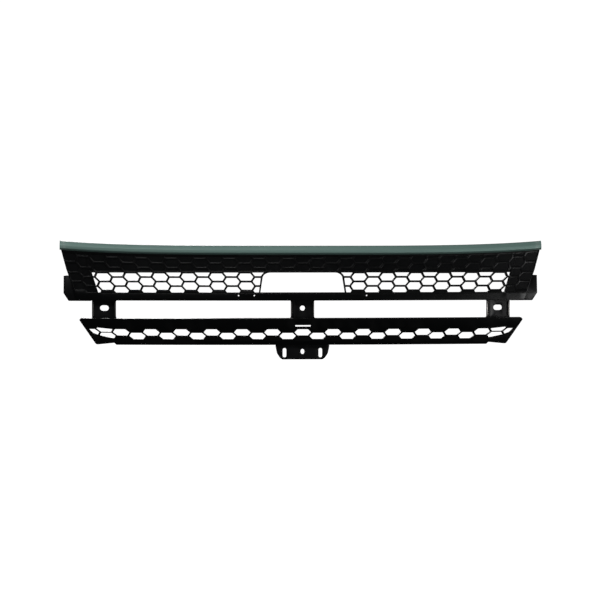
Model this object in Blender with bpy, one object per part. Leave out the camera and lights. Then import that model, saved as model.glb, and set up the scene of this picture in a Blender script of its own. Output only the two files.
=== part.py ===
"""Front grille of a lorry cab, built as the separate pieces it comes apart into.

Every piece is first drawn flat, in a layout of x (across the cab), depth (rearwards) and height
(above the lower edge of the centre bracket). A placing function then fans it, bows it round the
front of the cab and leans it back. The finished part is moved so that the middle of its box is
the origin: +X is the right-hand end seen from the front, +Y is rearwards and +Z is up.
"""

from math import cos, pi, sin

import bmesh
import bpy
from mathutils import Vector

# ---- Driving dimensions, in metres -------------------------------------------------------------
HALF_WIDTH = 0.900          # middle of the grille to the end of the top trim
BOW = 0.060                 # how far the ends lie behind the middle
FACETS = (0.060, 0.170, 0.275, 0.380, 0.485, 0.590, 0.687, 0.778, 0.905)  # the bow's straight runs

SLOT_BOTTOM = 0.155         # the two long slots lie between the lower panel and the fascia
SLOT_TOP = 0.2195
SKIN = 0.003                # wall of the black mouldings
GAP = 0.0004                # clearance between neighbouring pieces
REAR_RIM = 0.024            # depth at which both mouldings end and the posts are screwed on

# Upper fascia and what it carries
FASCIA_TOP = 0.4165
FASCIA_HALF, FASCIA_TOP_HALF = 0.8590, 0.8526   # half widths before fanning, below the trim and at the top
WINDOW_BOTTOM, WINDOW_TOP, WINDOW_HALF = 0.2500, 0.3230, 0.7705   # the clear mesh window
BORDER = 0.0032             # rim wall of the mesh inserts and of the badge window frame
FAN, FAN_HEIGHT = 0.43, 0.290   # widths grow by this much per metre above the fan height
LEAN, LEAN_HEIGHT = 0.13, 0.2462    # the fascia leans back above the middle rail
END_RISE, RISE_HEIGHT = 0.018, 0.335    # the trim sweeps up towards its ends

# Honeycomb of the upper window, wall to wall
CELL_PITCH, ROW_PITCH = 0.0523, 0.0333
CELL_SLANT = 0.0125         # how far a slanted wall runs across
CELL_WALL = 0.0055
MESH_FRONT, MESH_REAR = 0.0005, 0.018
FLANGE = 0.0025             # flange of an insert, behind the moulding

# Badge window, a D lying on its flat side
BADGE_HALF_BOTTOM, BADGE_HALF_TOP = 0.1592, 0.1479
BADGE_CORNER_WIDE, BADGE_CORNER_HIGH = 0.0306, 0.0230

# Top trim
TRIM_BOTTOM, TRIM_CREASE, TRIM_TOP = 0.3895, 0.4075, 0.4225
TRIM_HALF = 0.9000
TRIM_PROUD = 0.010
TRIM_WALL = 0.0025
CAP_LENGTH = 0.012

# Lower panel
LOWER_BOTTOM = 0.0550
LOWER_FRONT_TOP, LOWER_FRONT_BOTTOM = -0.030, 0.010     # depth of its sloping front face
LOWER_FAN, LOWER_FAN_HEIGHT = 0.49, 0.1024
LOWER_PITCH = 0.05595
LOWER_ROWS = (0.0887, 0.1024)   # heights of the staggered rows of cells
LOWER_CELL = (0.0310, 0.0190, 0.0121)   # half width, half flat and half height of a clear cell
LOWER_RIM = 0.0036
SWEEP, SWEEP_FROM = 0.020, 0.687        # the end facets are swept back from here
SWEEP_TO = 0.825

# Posts and brackets
POST_HALF, POST_PLATE, POST_SIDE = 0.0434, 0.004, 0.009
POST_CENTRE = 0.7350
POST_LOW, POST_HIGH = 0.1385, 0.2385
POST_HOLE = (0.0165, 0.0100)    # half length and half height of an outer post's oblong hole
POST_PAD, PAD_RIM = 0.0035, 0.0090   # the pad behind a post's hole: how far it stands out, and its width
POST_HOLE_HEIGHT = 0.1910
CENTRE_HOLE_RADIUS = 0.0093
BRACKET_HALF, BRACKET_PLATE = 0.100, 0.004
BRACKET_SLOT = (0.0666, 0.0067, 0.0172, 0.0253)     # offset, half width, half height, height
BRACKET_HOLE = (0.0070, 0.0095, 0.0298)             # half width, half height, height
EAR_PLATE = (0.7820, 0.2170, 0.8875, 0.3120)        # side bracket: inner, low, outer, high
FOOT_DEPTH, FOOT_WIDTH, FOOT_HOLE_RADIUS = 0.034, 0.032, 0.0045

# Fastenings
PIN_RADIUS, PIN_REAR = 0.0025, 0.0105
NUT_RADIUS, NUT_THICK = 0.0050, 0.0010
BOSS_RADIUS, PILOT_RADIUS, PILOT_DEPTH = 0.0055, 0.0022, 0.008
SHANK_RADIUS, HEAD_RADIUS, HEAD_THICK = 0.0018, 0.0048, 0.0028
CLEARANCE_RADIUS = 0.0026
FASCIA_BOSS_HEIGHT, LOWER_BOSS_HEIGHT = 0.2290, 0.1460
BRACKET_BOSS_HEIGHT = 0.0655
INSERT_PINS_TOP, INSERT_PINS_BOTTOM = (0.230, 0.690), (0.300, 0.620)
INSERT_PIN_HEIGHTS = (0.2410, 0.3350)   # lower row, upper row
LOWER_PINS = (0.1678, 0.5035)
LOWER_PIN_HEIGHT = 0.1235
TRIM_SCREWS = (0.150, 0.460, 0.780)
TRIM_SCREW_HEIGHT = 0.4050
SPARE_HOLES, SPARE_HEIGHT, SPARE_RADIUS = (-0.237, -0.179, 0.237), 0.2385, 0.0025
TAB_CENTRES, TAB_HALF, TAB_REACH = (-0.450, 0.0, 0.450), 0.020, 0.026

BLACK = ((0.012, 0.012, 0.013), 0.45, 0.0)
BLACK_STEEL = ((0.020, 0.020, 0.022), 0.40, 0.6)
GREY_PAINT = ((0.10, 0.16, 0.145), 0.30, 0.4)
ZINC = ((0.60, 0.60, 0.58), 0.35, 1.0)
RUBBER = ((0.02, 0.02, 0.02), 0.85, 0.0)


# ---- Placing: from the flat layout to the bowed grille -----------------------------------------
def faceted(x, curve):
    """A curve of x, symmetric about the middle, drawn as straight runs between the facets."""
    x = abs(x)
    low = 0.0
    for high in FACETS:
        if x <= high or high == FACETS[-1]:
            break
        low = high
    start = FACETS[0] if low == 0.0 else low
    if high == FACETS[0]:
        return curve(start)
    return curve(low) + (curve(high) - curve(low)) * (x - low) / (high - low)


def bow(x):
    return faceted(x, lambda at: BOW * (at / HALF_WIDTH) ** 2)


def end_rise(x):
    return faceted(x, lambda at: END_RISE * (at / HALF_WIDTH) ** 4)


def place_upper(point):
    """Bows, leans and raises a fanned point of the fascia, its inserts or its trim."""
    x, depth, height = point
    lean = LEAN * max(0.0, height - LEAN_HEIGHT)
    ramp = min(1.0, max(0.0, (height - RISE_HEIGHT) / (TRIM_BOTTOM - RISE_HEIGHT)))
    return Vector((x, depth + bow(x) + lean, height + end_rise(x) * ramp))


def lower_slope(height):
    """Depth of the lower panel's front face at a height."""
    share = (height - LOWER_BOTTOM) / (SLOT_BOTTOM - LOWER_BOTTOM)
    return LOWER_FRONT_BOTTOM + share * (LOWER_FRONT_TOP - LOWER_FRONT_BOTTOM)


def place_lower(point):
    """Bows a point of the lower panel and sweeps its end facets back towards the rear rim."""
    x, depth, height = point
    sweep = SWEEP * max(0.0, abs(x) - SWEEP_FROM) / (SWEEP_TO - SWEEP_FROM)
    share = (REAR_RIM - depth) / (REAR_RIM - LOWER_FRONT_TOP)
    return Vector((x, depth + bow(x) + sweep * max(0.0, share), height))


def place_lower_insert(point):
    """The same, for a piece drawn flat against the sloping front face."""
    x, depth, height = point
    return place_lower((x, depth + lower_slope(height), height))


def place_bowed(point):
    x, depth, height = point
    return Vector((x, depth + bow(x), height))


def place_bracket(point):
    """Leans a side bracket's plate with the fascia and leaves its foot upright."""
    x, depth, height = point
    foot = REAR_RIM + GAP + FOOT_DEPTH
    share = min(1.0, (foot - depth) / (FOOT_DEPTH - BRACKET_PLATE))
    return Vector((x, depth + bow(x) + share * LEAN * max(0.0, height - LEAN_HEIGHT), height))


# ---- Outlines: lists of (x, height) points -----------------------------------------------------
def box(left, right, bottom, top):
    return [(left, bottom), (right, bottom), (right, top), (left, top)]


def ellipse(x, height, half_width, half_height, sides=12):
    turns = [2 * pi * (i + 0.5) / sides for i in range(sides)]
    return [(x + half_width * cos(t), height + half_height * sin(t)) for t in turns]


def oblong(x, height, half_width, half_height, sides=6):
    """A slot with round ends, along its longer side."""
    radius = min(half_width, half_height)
    points = []
    for end in (1, -1):
        for i in range(sides + 1):
            turn = pi * (i / sides - 0.5)
            along = (max(half_width, half_height) - radius + radius * cos(turn)) * end
            across = radius * sin(turn) * end
            points.append((x + along, height + across) if half_width > half_height
                          else (x - across, height + along))
    return points


def hexagon(x, height, half_width, half_flat, half_height):
    right = [(half_flat, -half_height), (half_width, 0.0), (half_flat, half_height)]
    ring = right + [(-a, -b) for a, b in right]
    return [(x + a, height + b) for a, b in ring]


def mirrored(outline):
    return [(-x, height) for x, height in reversed(outline)]


def keep_side(outline, point, normal):
    """The part of a convex outline on the side of a line that its normal points to."""
    kept = []
    for i, here in enumerate(outline):
        before = outline[i - 1]
        a = (before[0] - point[0]) * normal[0] + (before[1] - point[1]) * normal[1]
        b = (here[0] - point[0]) * normal[0] + (here[1] - point[1]) * normal[1]
        if a * b < 0:
            share = a / (a - b)
            kept.append(tuple(p + (q - p) * share for p, q in zip(before, here)))
        if b >= 0:
            kept.append(here)
    return kept


def keep_inside(outline, convex):
    """The part of a convex outline inside another, both anticlockwise."""
    for i, corner in enumerate(convex):
        before = convex[i - 1]
        inward = (before[1] - corner[1], corner[0] - before[0])
        outline = keep_side(outline, corner, inward)
        if not outline:
            return []
    return outline


# ---- Solids in the flat layout -----------------------------------------------------------------
def prism(bm, outline, front, back):
    """Extrudes an (x, height) outline from one depth to another; a depth may follow the height."""
    def depth_of(depth, height):
        return depth(height) if callable(depth) else depth
    rings = [[bm.verts.new((x, depth_of(depth, h), h)) for x, h in outline] for depth in (front, back)]
    bm.faces.new(rings[0])
    bm.faces.new(rings[1][::-1])
    for i in range(len(outline)):
        j = i - 1
        bm.faces.new((rings[0][i], rings[1][i], rings[1][j], rings[0][j]))


def turned(bm, x, height, profile, sides=6, ring=False):
    """Turns (radius, depth) points about the depth direction; a ring closes on itself."""
    loops = []
    for radius, depth in profile:
        if radius == 0:
            loops.append([bm.verts.new((x, depth, height))] * sides)
            continue
        turns = [2 * pi * (i + 0.5) / sides for i in range(sides)]
        loops.append([bm.verts.new((x + radius * cos(t), depth, height + radius * sin(t))) for t in turns])
    pairs = list(zip(loops, loops[1:] + loops[:1])) if ring else list(zip(loops, loops[1:]))
    for near, far in pairs:
        for i in range(sides):
            corners = []
            for vertex in (near[i - 1], near[i], far[i], far[i - 1]):
                if vertex not in corners:
                    corners.append(vertex)
            bm.faces.new(corners)


def solid(*makers):
    """A mesh of everything that the makers add to it, facing outwards."""
    bm = bmesh.new()
    for make in makers:
        make(bm)
    bmesh.ops.recalc_face_normals(bm, faces=bm.faces)
    mesh = bpy.data.meshes.new("solid")
    bm.to_mesh(mesh)
    bm.free()
    return mesh


def prisms(outlines, front, back):
    return solid(*[lambda bm, o=o: prism(bm, o, front, back) for o in outlines])


def combine(mesh, tool, operation):
    """Applies a Boolean of two meshes and returns the result as a new mesh."""
    holders = [bpy.data.objects.new("holder", m) for m in (mesh, tool)]
    for holder in holders:
        bpy.context.scene.collection.objects.link(holder)
    boolean = holders[0].modifiers.new("Boolean", "BOOLEAN")
    boolean.operation = operation
    boolean.object = holders[1]
    bpy.context.view_layer.update()
    result = bpy.data.meshes.new_from_object(
        holders[0].evaluated_get(bpy.context.evaluated_depsgraph_get()))
    for holder in holders:
        bpy.data.objects.remove(holder)
    return result


def cut(mesh, tool):
    return combine(mesh, tool, "DIFFERENCE")


def join(mesh, tool):
    return combine(mesh, tool, "UNION")


# ---- Objects -----------------------------------------------------------------------------------
def finish_material(name, look):
    made = bpy.data.materials.get(name)
    if made:
        return made
    colour, roughness, metallic = look
    made = bpy.data.materials.new(name)
    made.use_nodes = True
    shader = made.node_tree.nodes["Principled BSDF"]
    shader.inputs["Base Color"].default_value = (*colour, 1.0)
    shader.inputs["Roughness"].default_value = roughness
    shader.inputs["Metallic"].default_value = metallic
    return made


def fanned(mesh, fan=FAN, fan_height=FAN_HEIGHT):
    """Widens a drawn solid with its height; what is round and bored is added after this."""
    bm = bmesh.new()
    bm.from_mesh(mesh)
    bmesh.ops.triangulate(bm, faces=bm.faces)
    for vertex in bm.verts:
        vertex.co.x *= 1 + fan * (vertex.co.z - fan_height)
    bm.to_mesh(mesh)
    bm.free()
    return mesh


def build(name, mesh, place, material, heights=()):
    """Slices a flat solid where the bow or the lean bends, places it and makes it a node."""
    bm = bmesh.new()
    bm.from_mesh(mesh)
    planes = [((side * at, 0, 0), (1, 0, 0)) for at in FACETS for side in (1, -1)]
    planes += [((0, 0, at), (0, 0, 1)) for at in heights]
    for point, normal in planes:
        everything = bm.verts[:] + bm.edges[:] + bm.faces[:]
        bmesh.ops.bisect_plane(bm, geom=everything, dist=1e-6, plane_co=point, plane_no=normal)
    bmesh.ops.triangulate(bm, faces=bm.faces)
    for vertex in bm.verts:
        vertex.co = place(vertex.co)
    bm.to_mesh(mesh)
    bm.free()
    mesh.name = name
    mesh.set_sharp_from_angle(angle=pi / 6)
    mesh.shade_smooth()
    node = bpy.data.objects.new(name, mesh)
    bpy.context.scene.collection.objects.link(node)
    mesh.materials.append(finish_material(*material))
    return node


MOULDED = ("moulded_black", BLACK)
STEEL = ("black_steel", BLACK_STEEL)
PAINT = ("grey_paint", GREY_PAINT)
PLATED = ("zinc", ZINC)
ELASTIC = ("rubber", RUBBER)
UPPER = dict(place=place_upper, heights=(LEAN_HEIGHT, RISE_HEIGHT, TRIM_BOTTOM))
LOWER_FANNED = (LOWER_FAN, LOWER_FAN_HEIGHT)


# ---- Shared positions: (x, height) of every fastening, in real widths --------------------------
def both_sides(positions):
    return [(-x, height) for x, height in reversed(positions)] + list(positions)


INSERT_PINS = [(x, INSERT_PIN_HEIGHTS[0]) for x in INSERT_PINS_BOTTOM]
INSERT_PINS += [(x, INSERT_PIN_HEIGHTS[1]) for x in INSERT_PINS_TOP]
FRAME_PINS = [(0.0, height) for height in INSERT_PIN_HEIGHTS]
TRIM_POINTS = both_sides([(x, TRIM_SCREW_HEIGHT) for x in TRIM_SCREWS])
EAR_POINTS = [(0.8050, 0.2400), (0.8050, 0.2950)]
LOWER_PIN_POINTS = both_sides([(x, LOWER_PIN_HEIGHT) for x in LOWER_PINS])
BRACKET_POINTS = both_sides([(0.030, BRACKET_BOSS_HEIGHT), (0.082, BRACKET_BOSS_HEIGHT)])
POSTS = {"post_left": -POST_CENTRE, "post_centre": 0.0, "post_right": POST_CENTRE}


def post_points(centre, height):
    return [(centre - 0.6 * POST_HALF, height), (centre + 0.6 * POST_HALF, height)]


def rounds(positions, radius, sides=8):
    return [ellipse(x, height, radius, radius, sides) for x, height in positions]


# ---- Upper fascia and the pieces it carries ----------------------------------------------------
def badge_outline(grow=0.0, corners=5):
    """The D of the badge window, grown outwards by a wall."""
    wide, high = BADGE_CORNER_WIDE + grow, BADGE_CORNER_HIGH + grow
    across = BADGE_HALF_TOP - BADGE_CORNER_WIDE
    up = WINDOW_TOP - BADGE_CORNER_HIGH
    turns = [pi / 2 * i / corners for i in range(corners + 1)]
    right = [(BADGE_HALF_BOTTOM + grow, WINDOW_BOTTOM - grow)]
    right += [(across + wide * cos(t), up + high * sin(t)) for t in turns]
    return right + mirrored(right)


def upper_fascia():
    """A tray open at the back: front face, walls round its edge, a long window and its fixings."""
    low, high, half = SLOT_TOP, FASCIA_TOP, FASCIA_HALF
    right = [(half, low), (half, TRIM_BOTTOM), (FASCIA_TOP_HALF, high)]
    outline = right + mirrored(right)
    tray = prisms([outline], 0.0, REAR_RIM)
    tray = cut(tray, prisms([inset(outline, SKIN)], SKIN, REAR_RIM + 0.01))
    reach = BORDER + GAP
    window = box(-WINDOW_HALF - reach, WINDOW_HALF + reach, WINDOW_BOTTOM - reach, WINDOW_TOP + reach)
    tray = fanned(cut(tray, prisms([window], -0.01, 0.01)))
    boss_points = both_sides(EAR_POINTS)
    for centre in POSTS.values():
        boss_points += post_points(centre, FASCIA_BOSS_HEIGHT)
    pins = rounds(both_sides(INSERT_PINS) + FRAME_PINS, PIN_RADIUS)
    bosses = rounds(boss_points, BOSS_RADIUS)
    tabs = [box(x - TAB_HALF, x + TAB_HALF, high - SKIN + 0.0005, high - 0.0005) for x in TAB_CENTRES]
    tray = join(tray, prisms(pins, SKIN - 0.001, PIN_REAR))
    tray = join(tray, prisms(bosses, SKIN - 0.001, REAR_RIM))
    tray = join(tray, prisms(tabs, REAR_RIM - 0.004, REAR_RIM + TAB_REACH))
    tray = cut(tray, prisms(rounds(boss_points, PILOT_RADIUS), PILOT_DEPTH, REAR_RIM + 0.01))
    spare = [(x, SPARE_HEIGHT) for x in SPARE_HOLES]
    tray = cut(tray, prisms(rounds(spare, SPARE_RADIUS), -0.01, 0.01))
    tray = cut(tray, prisms(rounds(TRIM_POINTS, CLEARANCE_RADIUS), -0.01, 0.01))
    build("upper_fascia", tray, material=MOULDED, **UPPER)


def window_cells():
    """Clear outlines of the right-hand insert's cells, cut off at its rim."""
    half_height = (ROW_PITCH - CELL_WALL) / 2
    steep = ROW_PITCH / 2
    slope = (CELL_SLANT ** 2 + steep ** 2) ** 0.5
    half_width = (CELL_PITCH + CELL_SLANT) / 2 - CELL_WALL / 2 * slope / steep
    half_flat = half_width - CELL_SLANT * half_height / steep
    frame = box(0.1, WINDOW_HALF, WINDOW_BOTTOM, WINDOW_TOP)
    cells = []
    for column in range(3, 16):
        rows = (-1, 0, 1) if column % 2 else (-0.5, 0.5)
        for row in rows:
            centre = column * CELL_PITCH, FAN_HEIGHT + row * ROW_PITCH
            cells.append(keep_inside(hexagon(*centre, half_width, half_flat, half_height), frame))
    return cells


def mesh_insert(name, side):
    """A honeycomb block that stands in the window, with a flange pinned behind the fascia."""
    low, high, end = WINDOW_BOTTOM - BORDER, WINDOW_TOP + BORDER, WINDOW_HALF + BORDER
    block = box(BADGE_HALF_TOP - 0.008, end, low, high)
    flange = box(BADGE_HALF_BOTTOM + 0.004, end + 0.010, 0.2365, 0.3400)
    cells = window_cells()
    pins = INSERT_PINS
    if side < 0:
        block, flange = mirrored(block), mirrored(flange)
        cells = [mirrored(cell) for cell in cells]
        pins = [(-x, height) for x, height in pins]
    back = SKIN + GAP
    insert = join(prisms([block], MESH_FRONT, MESH_REAR), prisms([flange], back, back + FLANGE))
    spare = [(x, SPARE_HEIGHT) for x in SPARE_HOLES if x * side > 0]
    holes = rounds(pins, PIN_RADIUS + 0.0006) + rounds(spare, SPARE_RADIUS + 0.0010)
    insert = cut(insert, prisms([badge_outline(BORDER + GAP)], -0.01, 0.03))
    cells = cut(prisms(cells, -0.01, 0.03), prisms([badge_outline(2 * BORDER + GAP)], -0.02, 0.04))
    insert = fanned(cut(insert, cells))
    insert = cut(insert, prisms(holes, -0.01, 0.03))
    build(name, insert, material=MOULDED, **UPPER)


def centre_frame():
    """The D-shaped rim of the badge window, with two tabs pinned behind the fascia."""
    back = SKIN + GAP
    rim = prisms([badge_outline(BORDER)], -0.0005, 0.020)
    low = box(-0.100, 0.100, 0.2355, WINDOW_BOTTOM - 0.001)
    high = box(-0.100, 0.100, WINDOW_TOP + 0.001, 0.3425)
    rim = join(rim, prisms([low, high], back, back + FLANGE))
    rim = fanned(cut(rim, prisms([badge_outline()], -0.01, 0.03)))
    rim = cut(rim, prisms(rounds(FRAME_PINS, PIN_RADIUS + 0.0006), -0.01, 0.03))
    build("centre_frame", rim, material=MOULDED, **UPPER)


def channel(section, left, right):
    """A bar of one (depth, height) section along x."""
    def make(bm):
        rings = [[bm.verts.new((x, depth, height)) for depth, height in section] for x in (left, right)]
        bm.faces.new(rings[0])
        bm.faces.new(rings[1][::-1])
        for i in range(len(section)):
            bm.faces.new((rings[0][i - 1], rings[0][i], rings[1][i], rings[1][i - 1]))
    return make


def top_trim():
    """The painted strip: a folded channel that stands proud of the fascia and hooks over its top."""
    front, wall, lip = -TRIM_PROUD, TRIM_WALL, -GAP
    outer = [(lip, TRIM_BOTTOM), (front + 0.003, TRIM_BOTTOM), (front, TRIM_BOTTOM + 0.004),
             (front, TRIM_CREASE), (front + 0.006, TRIM_TOP - 0.002), (front + 0.010, TRIM_TOP),
             (0.013, TRIM_TOP)]
    inner = [(0.013, TRIM_TOP - wall), (front + 0.011, TRIM_TOP - wall),
             (front + 0.008, TRIM_TOP - 0.002 - wall), (front + wall, TRIM_CREASE - 0.0005),
             (front + wall, TRIM_BOTTOM + 0.005), (front + 0.004, TRIM_BOTTOM + wall),
             (lip, TRIM_BOTTOM + wall)]
    end = TRIM_HALF - CAP_LENGTH - GAP
    strip = solid(channel(outer + inner, -end, end))
    strip = join(strip, prisms(rounds(TRIM_POINTS, BOSS_RADIUS), front + 0.001, lip))
    strip = cut(strip, prisms(rounds(TRIM_POINTS, PILOT_RADIUS), front + 0.003, 0.01))
    build("top_trim", strip, material=PAINT, **UPPER)


def trim_cap(name, side):
    """A solid end block that closes the trim, a little proud of it."""
    inner, outer = sorted((side * (TRIM_HALF - CAP_LENGTH), side * TRIM_HALF))
    low, high = TRIM_BOTTOM - 0.0015, TRIM_TOP + 0.0012
    block = prisms([box(inner, outer, low, high)], -TRIM_PROUD - 0.0012, -GAP)
    hook = prisms([box(inner, outer, FASCIA_TOP + GAP + 0.0005, high)], -0.002, 0.013)
    build(name, join(block, hook), material=PAINT, **UPPER)


def top_seal():
    """A rubber strip on the fascia's top wall, behind the trim."""
    half, low = TRIM_HALF - 0.015, FASCIA_TOP + GAP
    strip = prisms([box(-half, half, low, low + 0.004)], 0.0145, REAR_RIM)
    build("top_seal", strip, material=ELASTIC, **UPPER)


def clip_nut(name, x):
    """A spring-steel clip slid over a rear tab, for a screw that holds the top edge to the cab."""
    high, low = FASCIA_TOP - 0.0005 + GAP, FASCIA_TOP - SKIN + 0.0005 - GAP
    front, back, steel = REAR_RIM + 0.006, REAR_RIM + TAB_REACH + GAP, 0.0012
    section = [(front, high), (back, high), (back, low), (front, low), (front, low - steel),
               (back + steel, low - steel), (back + steel, high + steel), (front, high + steel)]
    build(name, solid(channel(section, x - 0.008, x + 0.008)), material=PLATED, **UPPER)


# ---- Lower panel and its insert ----------------------------------------------------------------
def inset(outline, distance):
    """Moves every side of an anticlockwise outline inwards and joins them up again."""
    moved = []
    for i, corner in enumerate(outline):
        before, after = outline[i - 1], outline[(i + 1) % len(outline)]
        sides = []
        for start, stop in ((before, corner), (corner, after)):
            along = Vector((stop[0] - start[0], stop[1] - start[1])).normalized()
            sides.append((Vector((-along.y, along.x)), along))
        (first, _), (second, along) = sides
        turn = (distance - distance * first.dot(second)) / first.dot(along)
        moved.append(tuple(Vector(corner) + distance * second + turn * along))
    return moved


def lower_outline():
    """The lower panel seen from the front: pointed ends, and end facets cut up at the fold."""
    fold, low = SWEEP_FROM, LOWER_BOTTOM
    right = [(fold + 0.003, low), (fold + 0.010, low + 0.0075), (0.765, low + 0.0005), (0.827, 0.148),
             (0.820, SLOT_BOTTOM)]
    return right + mirrored(right)


def lower_cells(grow=0.0):
    """Clear outlines of all the lower cells, each grown by a wall; the end facets hold three each."""
    half_width, half_flat, half_height = LOWER_CELL

    def cell(column, height):
        shape = half_width + 1.3 * grow, half_flat + 0.45 * grow, half_height + grow
        return hexagon(column * LOWER_PITCH, height, *shape)

    window = [(0.690, 0.0790), (0.716, 0.0812), (0.754, 0.0895), (0.777, 0.0990), (0.787, 0.1145),
              (0.781, 0.1195), (0.764, 0.1225), (0.716, 0.1165), (0.690, 0.1140)]
    window = inset(window, -grow)
    low, high = LOWER_ROWS
    ends = [keep_inside(cell(column, height), window)
            for column, height in ((13, low), (13, 2 * high - low), (14, high))]
    middle = [cell(column, low if column % 2 else high) for column in range(-12, 13)]
    return middle + ends + [mirrored(outline) for outline in ends]


def merged_cells(grow, front, back):
    """One solid of all the cells, each grown until it meets its neighbours."""
    outlines = lower_cells(grow)
    shape = prisms(outlines[:1], front, back)
    for outline in outlines[1:]:
        shape = join(shape, prisms([outline], front, back))
    return shape


def lower_panel():
    """A tray with a sloping front, open at the back, with a zigzag window and a slit above it."""
    def behind(depth):
        return lambda height: lower_slope(height) + depth

    skin = 1.08 * SKIN
    tray = prisms([lower_outline()], lower_slope, REAR_RIM)
    tray = cut(tray, prisms([inset(lower_outline(), SKIN)], behind(skin), REAR_RIM + 0.01))
    window = fanned(merged_cells(LOWER_RIM + GAP, -0.050, 0.012), *LOWER_FANNED)
    tray = cut(tray, window)
    tray = cut(tray, prisms([box(-0.0283, 0.0283, 0.1240, 0.1300)], -0.050, 0.0))
    boss_points = list(BRACKET_POINTS)
    for centre in POSTS.values():
        boss_points += post_points(centre, LOWER_BOSS_HEIGHT)
    tray = join(tray, prisms(rounds(LOWER_PIN_POINTS, PIN_RADIUS), behind(skin - 0.001), behind(PIN_REAR)))
    tray = join(tray, prisms(rounds(boss_points, BOSS_RADIUS), behind(skin - 0.001), REAR_RIM))
    tray = cut(tray, prisms(rounds(boss_points, PILOT_RADIUS), 0.0115, REAR_RIM + 0.01))
    build("lower_panel", tray, place_lower, MOULDED)


def lower_mesh():
    """The zigzag honeycomb that stands in the lower window, with a flange pinned behind it."""
    back = 1.08 * SKIN + GAP
    block = merged_cells(LOWER_RIM, MESH_FRONT, MESH_REAR - 0.002)
    flange = [(0.030, 0.0728), (0.752, 0.0728), (0.797, 0.1300), (0.036, 0.1300), (0.036, 0.1215)]
    flange = prisms([flange + mirrored(flange)], back, back + FLANGE)
    insert = fanned(cut(join(block, flange), prisms(lower_cells(), -0.01, 0.03)), *LOWER_FANNED)
    insert = cut(insert, prisms(rounds(LOWER_PIN_POINTS, PIN_RADIUS + 0.0006), -0.01, 0.03))
    build("lower_mesh", insert, place_lower_insert, MOULDED)


# ---- Posts and brackets ------------------------------------------------------------------------
PLATE_FRONT = REAR_RIM + GAP


def post(name, centre):
    """A plate that ties the lower panel to the fascia; its sides turn forwards between the two.

    A pad round its hole meets the cab, so that the screw heads beside it stay clear.
    """
    rear = PLATE_FRONT + POST_PLATE
    left, right = centre - POST_HALF, centre + POST_HALF
    plate = prisms([box(left, right, POST_LOW, POST_HIGH)], PLATE_FRONT, rear)
    low, high = SLOT_BOTTOM + 0.0025, SLOT_TOP - 0.0025
    sides = [box(left, left + POST_PLATE, low, high), box(right - POST_PLATE, right, low, high)]
    plate = join(plate, prisms(sides, PLATE_FRONT - POST_SIDE, PLATE_FRONT + 0.001))
    hole = ellipse(0.0, POST_HOLE_HEIGHT, CENTRE_HOLE_RADIUS, CENTRE_HOLE_RADIUS, 16)
    pad = ellipse(0.0, POST_HOLE_HEIGHT, CENTRE_HOLE_RADIUS + PAD_RIM, CENTRE_HOLE_RADIUS + PAD_RIM, 16)
    if centre:
        hole = oblong(centre, POST_HOLE_HEIGHT, *POST_HOLE)
        pad = oblong(centre, POST_HOLE_HEIGHT, POST_HOLE[0] + PAD_RIM, POST_HOLE[1] + PAD_RIM)
    plate = join(plate, prisms([pad], rear - 0.001, rear + POST_PAD))
    plate = cut(plate, prisms([hole], 0.0, 0.06))
    points = post_points(centre, LOWER_BOSS_HEIGHT) + post_points(centre, FASCIA_BOSS_HEIGHT)
    plate = cut(plate, prisms(rounds(points, CLEARANCE_RADIUS), 0.0, 0.06))
    build(name, plate, place_bowed, STEEL)
    return points


def side_bracket(name, side):
    """A plate behind the fascia's end, with an outer wall and a foot turned in behind it."""
    rear, wall = PLATE_FRONT + BRACKET_PLATE, BRACKET_PLATE
    foot_rear = PLATE_FRONT + FOOT_DEPTH
    inner, low, outer, high = EAR_PLATE
    front = [(inner, low), (outer - 0.019, low), (outer, low + 0.029), (outer, high), (inner, high)]
    wall_outline = box(outer - wall, outer, low + 0.032, high)
    foot = box(outer - FOOT_WIDTH, outer, low + 0.032, high)
    hole = [(outer - 0.6 * FOOT_WIDTH, (low + 0.032 + high) / 2)]
    points = list(EAR_POINTS)
    if side < 0:
        front, wall_outline, foot = mirrored(front), mirrored(wall_outline), mirrored(foot)
        hole = [(-x, height) for x, height in hole]
        points = [(-x, height) for x, height in points]
    bracket = prisms([front], PLATE_FRONT, rear)
    bracket = join(bracket, prisms([wall_outline], rear - 0.001, foot_rear))
    bracket = join(bracket, prisms([foot], foot_rear - wall, foot_rear))
    bracket = cut(bracket, prisms(rounds(points, CLEARANCE_RADIUS), 0.0, rear + 0.005))
    bracket = cut(bracket, prisms(rounds(hole, FOOT_HOLE_RADIUS, 12), rear + 0.005, 0.1))
    build(name, bracket, place_bracket, STEEL, heights=(LEAN_HEIGHT,))
    return points


def centre_bracket():
    """The plate below the lower panel, bolted to the panel's rear."""
    half = BRACKET_HALF
    right = [(0.0745, 0.0), (0.0830, 0.0055), (0.0910, 0.0170), (0.0950, 0.0240)]
    right += [(half, 0.0480), (half, 0.0735)]
    plate = prisms([right + mirrored(right)], PLATE_FRONT, PLATE_FRONT + BRACKET_PLATE)
    offset, half_width, half_height, height = BRACKET_SLOT
    hole = ellipse(0.0, BRACKET_HOLE[2], *BRACKET_HOLE[:2], 14)
    slots = [oblong(side * offset, height, half_width, half_height) for side in (-1, 1)]
    plate = cut(plate, prisms(slots + [hole], 0.0, 0.06))
    plate = cut(plate, prisms(rounds(BRACKET_POINTS, CLEARANCE_RADIUS), 0.0, 0.06))
    build("centre_bracket", plate, place_bowed, STEEL)


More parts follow.
